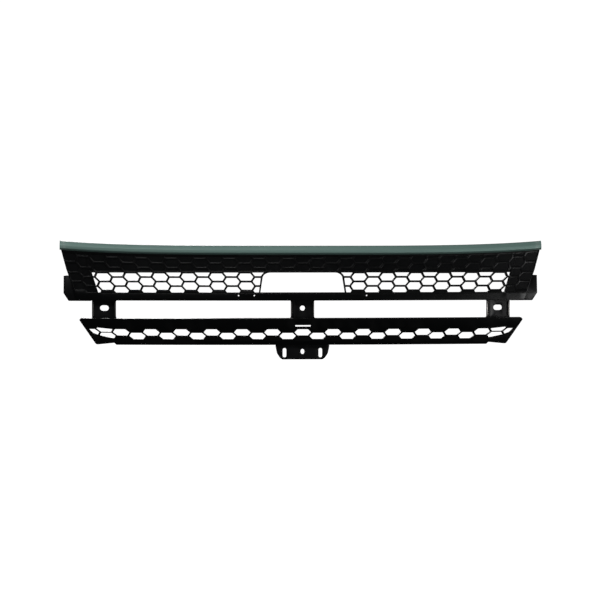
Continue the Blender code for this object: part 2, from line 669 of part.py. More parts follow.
# ---- Fasteners ---------------------------------------------------------------------------------
def screws(prefix, positions, seat, tip, place, heights=()):
    """Pan-head screws driven from behind: the head rests on the seat and the shank ends at the tip."""
    profile = [(0, seat + HEAD_THICK), (0.7 * HEAD_RADIUS, seat + HEAD_THICK),
               (HEAD_RADIUS, seat + 0.5 * HEAD_THICK), (HEAD_RADIUS, seat), (SHANK_RADIUS, seat),
               (SHANK_RADIUS, tip), (0, tip)]
    for number, (x, height) in enumerate(positions, 1):
        screw = solid(lambda bm: turned(bm, x, height, profile))
        build(f"{prefix}_{number}", screw, place, PLATED, heights)


def push_nuts(prefix, positions, front, **placing):
    """Pressed rings that grip the moulded pins behind an insert's flange."""
    inner, back = PIN_RADIUS + GAP, front + NUT_THICK
    profile = [(inner, front), (NUT_RADIUS, front), (NUT_RADIUS, back), (inner, back)]
    for number, (x, height) in enumerate(positions, 1):
        nut = solid(lambda bm: turned(bm, x, height, profile, ring=True))
        build(f"{prefix}_{number}", nut, material=PLATED, **placing)


def centre_everything():
    """Puts the middle of the whole grille's box at the origin."""
    nodes = [node for node in bpy.data.objects if node.type == "MESH"]
    corners = [vertex.co for node in nodes for vertex in node.data.vertices]
    low = Vector([min(co[i] for co in corners) for i in range(3)])
    high = Vector([max(co[i] for co in corners) for i in range(3)])
    middle = (low + high) / 2
    middle.x = 0.0
    for node in nodes:
        for vertex in node.data.vertices:
            vertex.co -= middle
    print("origin in the layout:", [round(value * 1000, 3) for value in middle])


def main():
    for leftover in list(bpy.data.objects):
        bpy.data.objects.remove(leftover)
    upper_fascia()
    mesh_insert("mesh_left", -1)
    mesh_insert("mesh_right", 1)
    centre_frame()
    top_trim()
    trim_cap("trim_cap_left", -1)
    trim_cap("trim_cap_right", 1)
    top_seal()
    for number, x in enumerate(TAB_CENTRES, 1):
        clip_nut(f"clip_nut_{number}", x)
    lower_panel()
    lower_mesh()
    centre_bracket()

    rear = PLATE_FRONT + POST_PLATE + GAP
    for name, centre in POSTS.items():
        screws(f"{name}_screw", post(name, centre), rear, 0.0175, place_bowed)
    for side, word in ((-1, "left"), (1, "right")):
        points = side_bracket(f"side_bracket_{word}", side)
        screws(f"side_screw_{word}", points, rear, 0.0175, place_upper, heights=(LEAN_HEIGHT,))
    screws("bracket_bolt", BRACKET_POINTS, rear, 0.0175, place_bowed)
    screws("trim_screw", TRIM_POINTS, SKIN + GAP, 0.0045 - TRIM_PROUD, **UPPER)
    behind = SKIN + 2 * GAP + FLANGE
    push_nuts("push_nut_left", [(-x, height) for x, height in INSERT_PINS], behind, **UPPER)
    push_nuts("push_nut_right", INSERT_PINS, behind, **UPPER)
    push_nuts("push_nut_centre", FRAME_PINS, behind, **UPPER)
    push_nuts("push_nut_lower", LOWER_PIN_POINTS, behind + 0.08 * SKIN, place=place_lower_insert)
    centre_everything()


main()
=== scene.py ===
# %% [markdown]
# # The front grille of a lorry cab
# The grille is two black mouldings on steel posts, with honeycomb inserts and a painted strip along
# its top. Its plain solids are loaded first as a fixed frame. Each cell below then makes one visible
# piece in finer detail where that solid lies, or gives the solid a better finish.

# %% Load the frame
from math import cos, pi, radians, sin

import bmesh
import bpy
import numpy as np
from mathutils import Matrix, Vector


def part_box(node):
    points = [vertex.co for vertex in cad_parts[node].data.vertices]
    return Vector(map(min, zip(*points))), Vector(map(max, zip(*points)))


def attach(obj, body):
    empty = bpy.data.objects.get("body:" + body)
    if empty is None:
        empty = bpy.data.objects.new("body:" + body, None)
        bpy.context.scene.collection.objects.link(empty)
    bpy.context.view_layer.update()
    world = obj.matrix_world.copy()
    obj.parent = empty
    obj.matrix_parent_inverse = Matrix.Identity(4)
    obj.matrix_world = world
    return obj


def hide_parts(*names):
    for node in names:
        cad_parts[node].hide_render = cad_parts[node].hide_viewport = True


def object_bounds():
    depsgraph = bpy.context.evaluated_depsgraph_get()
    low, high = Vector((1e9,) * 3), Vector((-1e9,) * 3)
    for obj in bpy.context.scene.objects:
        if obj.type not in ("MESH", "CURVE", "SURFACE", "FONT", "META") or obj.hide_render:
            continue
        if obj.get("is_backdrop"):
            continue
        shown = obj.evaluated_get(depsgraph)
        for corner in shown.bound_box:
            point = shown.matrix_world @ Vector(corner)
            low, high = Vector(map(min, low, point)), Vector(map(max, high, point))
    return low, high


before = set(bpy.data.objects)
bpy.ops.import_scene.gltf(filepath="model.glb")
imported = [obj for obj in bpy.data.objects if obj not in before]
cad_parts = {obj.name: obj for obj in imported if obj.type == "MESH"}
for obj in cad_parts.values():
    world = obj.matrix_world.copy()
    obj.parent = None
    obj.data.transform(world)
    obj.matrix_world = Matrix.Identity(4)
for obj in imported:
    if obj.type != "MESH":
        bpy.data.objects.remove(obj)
cad_low, cad_high = (np.array(corner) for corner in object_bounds())
print("grille, mm:", np.round((cad_high - cad_low) * 1000, 1))

# %% [markdown]
# ## The camera
# A long lens from almost straight ahead keeps the wide part free of distortion. The camera stands a
# little to the left and a little above, so the left half looks slightly nearer and ledges show.

# %% Place the camera
TURN, RAISE, DISTANCE = radians(2.56), radians(2.0), 6.785
forward = Vector((sin(TURN) * cos(RAISE), cos(TURN) * cos(RAISE), -sin(RAISE)))
target = Vector((-0.0088, -0.013, 0.0))
camera = bpy.data.objects.new("camera", bpy.data.cameras.new("camera"))
camera.data.lens = 109.6
camera.location = target - DISTANCE * forward
camera.rotation_euler = forward.to_track_quat("-Z", "Y").to_euler()
bpy.context.scene.collection.objects.link(camera)
bpy.context.scene.camera = camera
print("camera at", [round(value, 3) for value in camera.location])

# %% [markdown]
# ## A flat layout, and the ways it is bent
# A grille like this is easiest to draw flat: x across the cab, depth rearwards and height above the
# lower edge of the centre bracket. Every piece is drawn so, and one of these functions then bends all
# of its points at once. The same bend on every piece keeps the small gaps between them.

# %% Bend the layout
HALF_WIDTH = cad_high[0]
BOW = 0.060
PLATE_FRONT = 0.0244
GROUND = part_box("centre_bracket")[0][2]
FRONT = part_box("centre_bracket")[0][1] - PLATE_FRONT - BOW * (0.060 / HALF_WIDTH) ** 2
LEAN, LEAN_HEIGHT = 0.13, 0.2462
END_RISE, RISE_HEIGHT, TRIM_BOTTOM = 0.018, 0.335, 0.3895
LOWER_BOTTOM, SLOT_BOTTOM, REAR_RIM = 0.0550, 0.155, 0.024
SWEEP, SWEEP_FROM, SWEEP_TO = 0.020, 0.687, 0.825


def bowed(points):
    """Depth grows with the square of x: depth + BOW (x / half width)^2."""
    x, depth, height = points.T
    return np.stack([x, FRONT + depth + BOW * (x / HALF_WIDTH) ** 2, GROUND + height], axis=1)


def leaning(points):
    """The bow, plus a lean of 0.13 above the middle rail, plus a fourth-power rise of the ends."""
    height = points[:, 2]
    placed = bowed(points)
    ramp = np.clip((height - RISE_HEIGHT) / (TRIM_BOTTOM - RISE_HEIGHT), 0, 1)
    placed[:, 1] += LEAN * np.maximum(height - LEAN_HEIGHT, 0)
    placed[:, 2] += ramp * END_RISE * (points[:, 0] / HALF_WIDTH) ** 4
    return placed


def lower_slope(height):
    """Depth of the lower panel's face, a straight line from its bottom edge to its top edge."""
    return 0.010 - 0.040 * (height - LOWER_BOTTOM) / (SLOT_BOTTOM - LOWER_BOTTOM)


def swept(points):
    """The bow, plus the sweep of the lower panel's ends, full at the face and none at the rear."""
    x, depth = points.T[:2]
    placed = bowed(points)
    sweep = SWEEP * np.maximum(np.abs(x) - SWEEP_FROM, 0) / (SWEEP_TO - SWEEP_FROM)
    placed[:, 1] += sweep * np.clip((REAR_RIM - depth) / (REAR_RIM + 0.030), 0, None)
    return placed


def bracketed(points):
    """The bow, plus a lean that fades from a side bracket's plate to none at its foot."""
    depth, height = points[:, 1], points[:, 2]
    placed = bowed(points)
    share = np.clip((PLATE_FRONT + 0.034 - depth) / 0.030, 0, 1)
    placed[:, 1] += share * LEAN * np.maximum(height - LEAN_HEIGHT, 0)
    return placed


print("depth of the bow at the ends, mm:", round(BOW * 1000))

# %% [markdown]
# ## Outlines
# Sawn sheet and moulded plates are outlines with a thickness. An outline here is an array of
# (x, height) points, anticlockwise. Moving all its sides inwards gives the next ring of a rounded
# edge, so one formula makes rounded plates, tapered bosses and flared holes.

# %% Draw and inset outlines
def box(left, right, bottom, top):
    return np.array([(left, bottom), (right, bottom), (right, top), (left, top)])


def mirrored(outline):
    """The outline on the other side, still anticlockwise."""
    return outline[::-1] * (-1, 1)


def ellipse(x, height, half_width, half_height, sides=24):
    """Points at equal turns: centre + (half width cos t, half height sin t)."""
    turn = (np.arange(sides) + 0.5) * 2 * pi / sides
    return np.stack([x + half_width * np.cos(turn), height + half_height * np.sin(turn)], axis=1)


def oblong(x, height, half_width, half_height, steps=8):
    """Two half circles of the smaller half size, pushed apart along the longer one."""
    radius, reach = sorted((half_width, half_height))
    turn = np.linspace(-pi / 2, pi / 2, steps + 1)
    along = np.concatenate([reach - radius + radius * np.cos(turn), radius - reach - radius * np.cos(turn)])
    across = np.concatenate([radius * np.sin(turn), -radius * np.sin(turn)])
    if half_height > half_width:
        along, across = -across, along
    return np.stack([x + along, height + across], axis=1)


def inset(outline, distance):
    """Each corner moves by distance (n1 + n2) / (1 + n1 . n2), n being its sides' inward normals."""
    side = np.roll(outline, -1, axis=0) - outline
    side = side / np.linalg.norm(side, axis=1, keepdims=True)
    normal = np.stack([-side[:, 1], side[:, 0]], axis=1)
    before = np.roll(normal, 1, axis=0)
    return outline + distance * (before + normal) / (1 + (before * normal).sum(axis=1, keepdims=True))


def filleted(outline, radii, steps=4):
    """Swaps each corner for an arc of its own radius between the two points where the arc touches."""
    rounded = []
    for i, corner in enumerate(outline):
        radius = radii[i] if np.ndim(radii) else radii
        to_before, to_after = outline[i - 1] - corner, outline[(i + 1) % len(outline)] - corner
        a, b = to_before / np.linalg.norm(to_before), to_after / np.linalg.norm(to_after)
        half = np.arccos(np.clip(a @ b, -1, 1)) / 2
        if radius == 0 or half > 1.5:
            rounded.append(corner[None])
            continue
        centre = corner + (a + b) / np.linalg.norm(a + b) * radius / np.sin(half)
        start, stop = corner + a * radius / np.tan(half), corner + b * radius / np.tan(half)
        share = np.linspace(0, 1, steps + 1)[:, None]
        chord = start * (1 - share) + stop * share - centre
        rounded.append(centre + radius * chord / np.linalg.norm(chord, axis=1, keepdims=True))
    return np.concatenate(rounded)


def fanned(outline, fan=0.43, fan_height=0.290):
    """Widths grow with height: x (1 + fan (height - fan height))."""
    return outline * np.stack([1 + fan * (outline[:, 1] - fan_height), np.ones(len(outline))], axis=1)


print("an 8 mm fillet on a square has", len(filleted(box(0, 1, 0, 1), 0.008)), "points")

# %% [markdown]
# ## Solids from rings
# A solid is a stack of rings: the outline, moved inwards by each step of a profile and set at that
# step's depth. That is a surface of two parameters, one round the outline and one along the profile.
# The two end rings are closed by flat faces. Holes are made with a Boolean, whose cutters have flared
# ends, so that the edges they leave are rounded as on a moulding.

# %% Make solids and cut them
def grid_faces(rows, columns):
    """Quads between neighbouring rings: corner numbers are row * columns + column, closed round."""
    row, column = np.meshgrid(np.arange(rows - 1), np.arange(columns), indexing="ij")
    after = (column + 1) % columns
    corners = [row * columns + column, row * columns + after, (row + 1) * columns + after,
               (row + 1) * columns + column]
    return np.stack(corners, axis=-1).reshape(-1, 4)


def stacked(rings):
    """Vertices and faces of a stack of closed rings with both ends capped."""
    rings = np.asarray(rings)
    rows, columns = rings.shape[:2]
    faces = grid_faces(rows, columns).tolist()
    faces += [list(range(columns))[::-1], list(range((rows - 1) * columns, rows * columns))]
    return rings.reshape(-1, 3), faces


def plate(outline, profile, follow=None):
    """Rings of the inset outline; a profile step is (inset, depth, share of the follow surface)."""
    rings = []
    for step in profile:
        ring = inset(outline, step[0])
        depth = np.full(len(ring), step[1])
        if follow:
            depth = depth + step[2] * follow(ring[:, 1])
        rings.append(np.stack([ring[:, 0], depth, ring[:, 1]], axis=1))
    return stacked(rings)


def edge(radius, steps=3):
    """Quarter round: inset radius (1 - sin t) at depth radius (1 - cos t)."""
    turn = np.linspace(0, pi / 2, steps + 1)
    return np.stack([radius * (1 - np.sin(turn)), radius * (1 - np.cos(turn))], axis=1)


def between(front, rear, radius=0.0006, steps=2):
    """Profile of a plate with both edges rounded."""
    near = edge(radius, steps)
    far = near[::-1]
    return [(a, front + b) for a, b in near] + [(a, rear - b) for a, b in far]


def through(front, rear, flare=0.0006, steps=2):
    """Profile of a cutter that goes right through and flares at both faces."""
    near = edge(flare, steps)
    middle = [(-a, front + b) for a, b in near] + [(-a, rear - b) for a, b in near[::-1]]
    return [(-flare, front - 0.01)] + middle + [(-flare, rear + 0.01)]


def blind(front, floor, flare=0.0006, steps=2):
    """Profile of a cutter that flares at the front face and narrows to a floor."""
    near = edge(flare, steps)
    return [(-flare, front - 0.01)] + [(-a, front + b) for a, b in near] + [(0.4 * (floor - front), floor)]


def together(solids):
    """One mesh of several solids, facing outwards. A single mesh is passed on as it is."""
    if isinstance(solids[0], bpy.types.Mesh):
        return solids[0]
    vertices, faces, count = [], [], 0
    for points, polygons in solids:
        vertices.append(points)
        faces += [[corner + count for corner in polygon] for polygon in polygons]
        count += len(points)
    mesh = bpy.data.meshes.new("solid")
    mesh.from_pydata(np.concatenate(vertices), [], faces)
    bm = bmesh.new()
    bm.from_mesh(mesh)
    bmesh.ops.recalc_face_normals(bm, faces=bm.faces)
    bm.to_mesh(mesh)
    bm.free()
    return mesh


def combined(mesh, operation, *solids):
    """Cuts the solids from a mesh, or joins them to it."""
    parts = [bpy.data.objects.new("part", data) for data in (mesh, together(solids))]
    for part in parts:
        bpy.context.scene.collection.objects.link(part)
    boolean = parts[0].modifiers.new("Boolean", "BOOLEAN")
    boolean.operation, boolean.object, boolean.solver = operation, parts[1], "MANIFOLD"
    bpy.context.view_layer.update()
    result = bpy.data.meshes.new_from_object(parts[0].evaluated_get(bpy.context.evaluated_depsgraph_get()))
    for part in parts:
        bpy.data.objects.remove(part)
    return result


def cut(mesh, *solids):
    return combined(mesh, "DIFFERENCE", *solids)


def join(mesh, *solids):
    return combined(mesh, "UNION", *solids)


bored = together([plate(box(-1, 1, -1, 1), between(0, 0.1, 0.01))])
bored = cut(bored, plate(ellipse(0, 0, 0.5, 0.5), through(0, 0.1)))
print("a bored test plate has", len(bored.polygons), "faces")

# %% [markdown]
# ## Bending a finished solid
# A long flat face can only bend where it has edges, so the solid is sliced across every few
# centimetres first, closely enough that the bow looks smooth. Then all of its points go through one
# of the bending functions at once. The heights where the lean and the rise start are sliced as well.

# %% Slice, bend and finish a piece
STATION = 0.025
LEANING_HEIGHTS = (LEAN_HEIGHT, RISE_HEIGHT, TRIM_BOTTOM)
SIDES = (("left", -1), ("right", 1))
pieces = {}


def sliced(mesh, heights=()):
    """Cuts the faces along planes of equal x, without taking anything away."""
    bm = bmesh.new()
    bm.from_mesh(mesh)
    reach = max(abs(vertex.co.x) for vertex in bm.verts)
    planes = [((at, 0, 0), Vector((1, 0, 0))) for at in np.arange(-reach + STATION / 2, reach, STATION)]
    planes += [((0, 0, at), Vector((0, 0, 1))) for at in heights]
    for point, normal in planes:
        crossing = []
        for face in bm.faces:
            offsets = [(vertex.co - Vector(point)).dot(normal) for vertex in face.verts]
            if min(offsets) < -1e-6 < 1e-6 < max(offsets):
                crossing.append(face)
        around = {side for face in crossing for side in face.edges}
        around |= {vertex for face in crossing for vertex in face.verts}
        bmesh.ops.bisect_plane(bm, geom=crossing + list(around), dist=1e-6, plane_co=point, plane_no=normal)
    bmesh.ops.triangulate(bm, faces=[face for face in bm.faces if len(face.verts) > 4])
    bm.to_mesh(mesh)
    bm.free()
    return mesh


def finished(name, mesh, place, slot, nodes, heights=(), sharp=32):
    """Bends a flat mesh with one array operation and shows it in place of its plain solids."""
    if max(abs(vertex.co.x) for vertex in mesh.vertices) > 1.5 * STATION:
        sliced(mesh, heights)
    flat = np.empty(3 * len(mesh.vertices))
    mesh.vertices.foreach_get("co", flat)
    mesh.vertices.foreach_set("co", place(flat.reshape(-1, 3)).ravel())
    mesh.shade_smooth()
    mesh.set_sharp_from_angle(angle=radians(sharp))
    mesh.update()
    piece = bpy.data.objects.new(name, mesh)
    bpy.context.scene.collection.objects.link(piece)
    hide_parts(*nodes)
    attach(piece, "root")
    pieces[name] = piece, slot
    print(name, len(mesh.polygons), "faces,", [round(side * 1000) for side in piece.dimensions], "mm")


print("faces are sliced every", STATION * 1000, "mm")

# %% [markdown]
# ## The honeycomb
# The cells are long hexagons in staggered columns, and the whole pattern fans out with height. The
# pattern runs on over the fascia as shallow blind cells. One function draws a column's cell, and one
# keeps the part of it inside a frame, so the open and the blind cells share one lattice.

# %% Draw the cells
CELL_PITCH, ROW_PITCH, CELL_SLANT, CELL_WALL = 0.0523, 0.0333, 0.0125, 0.0072
LATTICE_HEIGHT = 0.290
WINDOW_BOTTOM, WINDOW_TOP, WINDOW_HALF, BORDER, GAP = 0.2500, 0.3230, 0.7705, 0.0032, 0.0004


def hexagon(x, height, half_width, half_flat, half_height):
    """Flat sides below and above, points left and right."""
    across = np.array([half_flat, half_width, half_flat, -half_flat, -half_width, -half_flat])
    up = np.array([-1, 0, 1, 1, 0, -1]) * half_height
    return np.stack([x + across, height + up], axis=1)


def lattice_cell(column, row):
    """The clear hexagon inside the walls: half a wall is taken off each side of its full cell."""
    half_height, steep = (ROW_PITCH - CELL_WALL) / 2, ROW_PITCH / 2
    slope = (CELL_SLANT ** 2 + steep ** 2) ** 0.5
    half_width = (CELL_PITCH + CELL_SLANT) / 2 - CELL_WALL / 2 * slope / steep
    half_flat = half_width - CELL_SLANT * half_height / steep
    return hexagon(column * CELL_PITCH, LATTICE_HEIGHT + row * ROW_PITCH, half_width, half_flat, half_height)


def keep_inside(outline, convex):
    """Clips an outline by each side of a convex frame: a point is added wherever a side crosses it."""
    for corner, before in zip(convex, np.roll(convex, 1, axis=0)):
        inward = np.array([before[1] - corner[1], corner[0] - before[0]])
        kept = []
        for here, last in zip(outline, np.roll(outline, 1, axis=0)):
            a, b = (last - corner) @ inward, (here - corner) @ inward
            if a * b < 0:
                kept.append(last + (here - last) * a / (a - b))
            if b >= 0:
                kept.append(here)
        outline = np.array(kept).reshape(-1, 2)
    return outline


def moulded(outline, radius=0.0010, shortest=0.0022):
    """Drops corners too close together to round, and rounds the rest; slivers give None."""
    if len(outline) > 2:
        outline = outline[np.linalg.norm(np.roll(outline, -1, axis=0) - outline, axis=1) > shortest]
    if len(outline) < 3 or np.ptp(outline, axis=0).min() < 0.0045:
        return None
    return filleted(outline, radius, 2)


def lattice_cells(columns, border):
    """Rounded, fanned cells inside a border. Rows stand at whole steps in odd columns, at halves in even."""
    cells = []
    for column in columns:
        for row in np.arange(-2, 4) - (0.0 if column % 2 else 0.5):
            cell = moulded(keep_inside(lattice_cell(column, row), border))
            if cell is not None:
                cells.append(fanned(cell))
    return cells


print("a clear cell, mm:", np.round(np.ptp(lattice_cell(0, 0), axis=0) * 1000, 1))

# %% [markdown]
# ## The upper fascia
# The fascia is one black moulding: a tray with a 3 mm wall, open at the back. It is a rounded block
# from which the hollow, the window and the blind cells are cut while it is flat. Ribs, screw bosses
# and the pins for the inserts are joined on behind, as on a real moulding.

# %% Mould the fascia
FASCIA_HALF, FASCIA_TOP_HALF, FASCIA_LOW, FASCIA_TOP, SKIN = 0.8590, 0.8526, 0.2195, 0.4165, 0.003
RELIEF_TOP, RELIEF_DEPTH = 0.3820, 0.0018
BADGE_HALF_BOTTOM, BADGE_HALF_TOP, BADGE_CORNER = 0.1592, 0.1479, (0.0306, 0.0230)
INSERT_PINS = [(0.300, 0.2410), (0.620, 0.2410), (0.230, 0.3350), (0.690, 0.3350)]
FRAME_PINS = [(0.0, 0.2410), (0.0, 0.3350)]
TRIM_SCREWS = [(x, 0.4050) for x in (0.150, 0.460, 0.780)]
EAR_SCREWS = [(0.8050, 0.2400), (0.8050, 0.2950)]
SPARE_HOLES = [(-0.237, 0.2385), (-0.179, 0.2385), (0.237, 0.2385)]
TABS = (-0.450, 0.0, 0.450)
POSTS = {"post_left": -0.7350, "post_centre": 0.0, "post_right": 0.7350}
POST_HALF, LOW_SCREWS, HIGH_SCREWS = 0.0434, 0.1460, 0.2290
BOSS, PILOT, PIN = 0.0055, 0.0022, 0.0025
SCREW_HOLE, PIN_HOLE = 0.0026, 0.0031
RIB_PITCH, RIB_HALF, RIB_LOW, RIB_REAR = 0.110, 0.0009, 0.3475, 0.0170
TAB_HALF, TAB_REAR = 0.020, 0.0500


def both(points):
    """The same places left and right."""
    return [(-x, height) for x, height in points] + list(points)


def post_screws(height):
    """Two screws on every post at one height."""
    return [(centre + side * 0.6 * POST_HALF, height) for centre in POSTS.values() for side in (-1, 1)]


def rounds(points, radius, profile, follow=None, sides=16):
    """One round solid of a profile at each place: a boss, a pin or a cutter."""
    return [plate(ellipse(x, height, radius, radius, sides), profile, follow) for x, height in points]


def pilot(floor):
    """Profile of a screw's blind hole in a boss, flared where the screw enters from behind."""
    return [(0, floor), (0, REAR_RIM - 0.0008), (-0.0008, REAR_RIM + 0.01)]


def upper_fascia():
    right = np.array([(FASCIA_HALF, FASCIA_LOW), (FASCIA_HALF, TRIM_BOTTOM), (FASCIA_TOP_HALF, FASCIA_TOP)])
    block = np.concatenate([right, mirrored(right)])
    radii = [0.004, 0, 0.004, 0.004, 0, 0.004]
    tray = together([plate(fanned(filleted(block, radii)), between(0, REAR_RIM, 0.0010, 3))])
    hollow = [(SKIN + 0.001, SKIN), (SKIN, SKIN + 0.001), (SKIN, REAR_RIM + 0.01)]
    tray = cut(tray, plate(fanned(block), hollow))
    reach = BORDER + GAP
    window = box(-WINDOW_HALF - reach, WINDOW_HALF + reach, WINDOW_BOTTOM - reach, WINDOW_TOP + reach)
    tray = cut(tray, plate(fanned(window), through(0, SKIN, 0.0007)))
    rim = reach + 0.0022
    ear = box(WINDOW_HALF + rim, FASCIA_HALF - 0.006, WINDOW_BOTTOM, RELIEF_TOP)
    band = box(-WINDOW_HALF - reach, WINDOW_HALF + reach, WINDOW_TOP + rim, RELIEF_TOP)
    relief = lattice_cells(range(14, 17), ear)
    relief += [mirrored(cell) for cell in relief]
    relief += lattice_cells(range(-15, 16), band)
    tray = cut(tray, *[plate(cell, blind(0, RELIEF_DEPTH, 0.0007)) for cell in relief])
    bosses = both(EAR_SCREWS) + post_screws(HIGH_SCREWS)
    extras = rounds(bosses, BOSS, [(0, SKIN - 0.001), (0, REAR_RIM - 0.0004), (0.0004, REAR_RIM)])
    extras += rounds(both(INSERT_PINS) + FRAME_PINS, PIN, [(0, SKIN - 0.001), (0, 0.0095), (0.001, 0.0105)])
    for x in np.arange(-7.5, 8) * RIB_PITCH:
        rib = fanned(box(x - RIB_HALF, x + RIB_HALF, RIB_LOW, FASCIA_TOP - SKIN + 0.0005))
        extras.append(plate(rib, [(0, SKIN - 0.0005), (0.0003, RIB_REAR)]))
    for x in TABS:
        tab = box(x - TAB_HALF, x + TAB_HALF, FASCIA_TOP - SKIN + 0.0005, FASCIA_TOP - 0.0005)
        extras.append(plate(tab, [(0, REAR_RIM - 0.004), (0, TAB_REAR - 0.0005), (0.0006, TAB_REAR)]))
    tray = join(tray, *extras)
    tray = cut(tray, *rounds(bosses, PILOT, pilot(0.008)))
    tray = cut(tray, *rounds(SPARE_HOLES, PIN, through(0, SKIN, 0.0004)))
    return cut(tray, *rounds(both(TRIM_SCREWS), SCREW_HOLE, through(0, SKIN, 0.0003)))


finished("fascia", upper_fascia(), leaning, "black_plastic", ["upper_fascia"], LEANING_HEIGHTS)

# %% [markdown]
# ## The mesh inserts and the badge frame
# The open honeycomb is moulded separately and stands in the fascia's window, 17 mm deep, with a thin
# flange behind the fascia that slips over the moulded pins. Between the two inserts a plain D-shaped
# collar frames the window for the badge. The cell walls are what is left after the cells are cut, so
# they keep an even thickness with rounded edges.

# %% Mould the inserts and the frame
MESH_FRONT, MESH_REAR, FLANGE = 0.0005, 0.018, 0.0025
BACK = SKIN + GAP
SNUG = GAP - 0.00005


def badge_outline(grow=0.0, steps=8):
    """A D lying on its flat side: two quarter ellipses on top of a tapering block."""
    wide, high = BADGE_CORNER[0] + grow, BADGE_CORNER[1] + grow
    turn = np.linspace(0, pi / 2, steps + 1)
    corner = np.stack([BADGE_HALF_TOP - BADGE_CORNER[0] + wide * np.cos(turn),
                       WINDOW_TOP - BADGE_CORNER[1] + high * np.sin(turn)], axis=1)
    right = np.concatenate([[(BADGE_HALF_BOTTOM + grow, WINDOW_BOTTOM - grow)], corner])
    return fanned(np.concatenate([right, mirrored(right)]))


def mesh_insert(side):
    rim = BORDER + SNUG
    low, high, end = WINDOW_BOTTOM - rim, WINDOW_TOP + rim, WINDOW_HALF + rim
    block = fanned(box(BADGE_HALF_TOP - 0.026, end, low, high))
    flange = fanned(box(BADGE_HALF_BOTTOM + 0.004, end + 0.010, 0.2365, 0.3400))
    cells = lattice_cells(range(3, 16), box(0.1, WINDOW_HALF, WINDOW_BOTTOM, WINDOW_TOP))
    pins = INSERT_PINS
    if side < 0:
        block, flange, cells = mirrored(block), mirrored(flange), [mirrored(cell) for cell in cells]
        pins = [(-x, height) for x, height in pins]
    insert = join(together([plate(block, between(MESH_FRONT, MESH_REAR, 0.0004))]),
                  plate(flange, between(BACK, BACK + FLANGE, 0.0003)))
    insert = cut(insert, plate(badge_outline(BORDER + GAP), through(MESH_FRONT, MESH_REAR, 0.0004)))
    openings = together([plate(cell, through(MESH_FRONT, MESH_REAR, 0.0006)) for cell in cells])
    waisted = [(-inward, depth) for inward, depth in through(MESH_FRONT, MESH_REAR, 0.0006)[1:-1]]
    waisted = [(waisted[0][0], -0.02), *waisted, (waisted[-1][0], 0.04)]
    insert = cut(insert, cut(openings, plate(badge_outline(2 * BORDER + GAP), waisted)))
    spare = [(x, height) for x, height in SPARE_HOLES if x * side > 0]
    insert = cut(insert, *rounds(pins, PIN_HOLE, through(BACK, BACK + FLANGE, 0.0002)))
    return cut(insert, *rounds(spare, 0.0035, through(BACK, BACK + FLANGE, 0.0002)))


def badge_frame():
    front, rear = -0.0005, 0.020
    collar = together([plate(badge_outline(BORDER + SNUG), between(front, rear, 0.0010, 3))])
    top = np.array([(0.100, WINDOW_TOP + 0.001), (0.100, 0.3269), (0.157, 0.3269), (0.157, 0.3425)])
    tabs = box(-0.155, 0.155, 0.2355, WINDOW_BOTTOM - 0.001), np.concatenate([top, mirrored(top)])
    collar = join(collar, *[plate(fanned(tab), between(BACK, BACK + FLANGE, 0.0003)) for tab in tabs])
    collar = cut(collar, plate(badge_outline(), through(front, rear, 0.0008)))
    return cut(collar, *rounds(FRAME_PINS, PIN_HOLE, through(BACK, BACK + FLANGE, 0.0002)))


for name, side in SIDES:
    finished(f"mesh_{name}_visual", mesh_insert(side), leaning, "black_plastic", ["mesh_" + name],
             LEANING_HEIGHTS)
finished("badge_frame", badge_frame(), leaning, "black_plastic", ["centre_frame"], LEANING_HEIGHTS)

# %% [markdown]
# ## The painted strip, its caps and the top seal
# The strip is a shell of one cross-section: a rolled lower edge, a front facet, a crease with a
# second facet leaning back, and a lip over the fascia's top. A section with rounded corners drawn
# along x is the whole shape. Solid caps close its ends, and a soft rubber strip seals behind it.

# %% Make the strip, caps and seal
TRIM_CREASE, TRIM_TOP, TRIM_HALF, TRIM_PROUD, TRIM_WALL, CAP = 0.4075, 0.4225, 0.900, 0.010, 0.0025, 0.012
LIP_REAR, SEAL_FRONT, SEAL_THICK = 0.013, 0.0145, 0.004


def drawn(section, left, right):
    """A bar of one closed (depth, height) section from left to right."""
    rings = np.empty((2, len(section), 3))
    rings[..., 0] = np.array([[left], [right]])
    rings[..., 1:] = section
    return stacked(rings)


def face_section():
    """The strip's outside, from the lip below, round the rolled edge and up to the lip on top."""
    front = -TRIM_PROUD
    return [(-GAP, TRIM_BOTTOM), (front + 0.0085, TRIM_BOTTOM), (front, TRIM_BOTTOM + 0.0065),
            (front, TRIM_CREASE), (front + 0.006, TRIM_TOP - 0.002), (front + 0.010, TRIM_TOP),
            (LIP_REAR, TRIM_TOP)]


FACE_RADII = [0.0004, 0.0010, 0.006, 0.003, 0.003, 0.0035, 0.0008]


def trim():
    front, wall = -TRIM_PROUD, TRIM_WALL
    inside = [(LIP_REAR, TRIM_TOP - wall), (front + 0.011, TRIM_TOP - wall),
              (front + 0.008, TRIM_TOP - 0.002 - wall), (front + wall, TRIM_CREASE - 0.0005),
              (front + wall, TRIM_BOTTOM + 0.0078), (-GAP, TRIM_BOTTOM + 0.0028)]
    radii = FACE_RADII + [0.0008, 0.002, 0.002, 0.001, 0.003, 0.0006]
    section = filleted(np.array(face_section() + inside), radii, 5)
    end = TRIM_HALF - CAP - GAP
    strip = join(together([drawn(section, -end, end)]),
                 *rounds(both(TRIM_SCREWS), BOSS, [(0, front + 0.001), (0.0003, -GAP)]))
    return cut(strip, *rounds(both(TRIM_SCREWS), PILOT, [(0, front + 0.003), (0, 0.01)]))


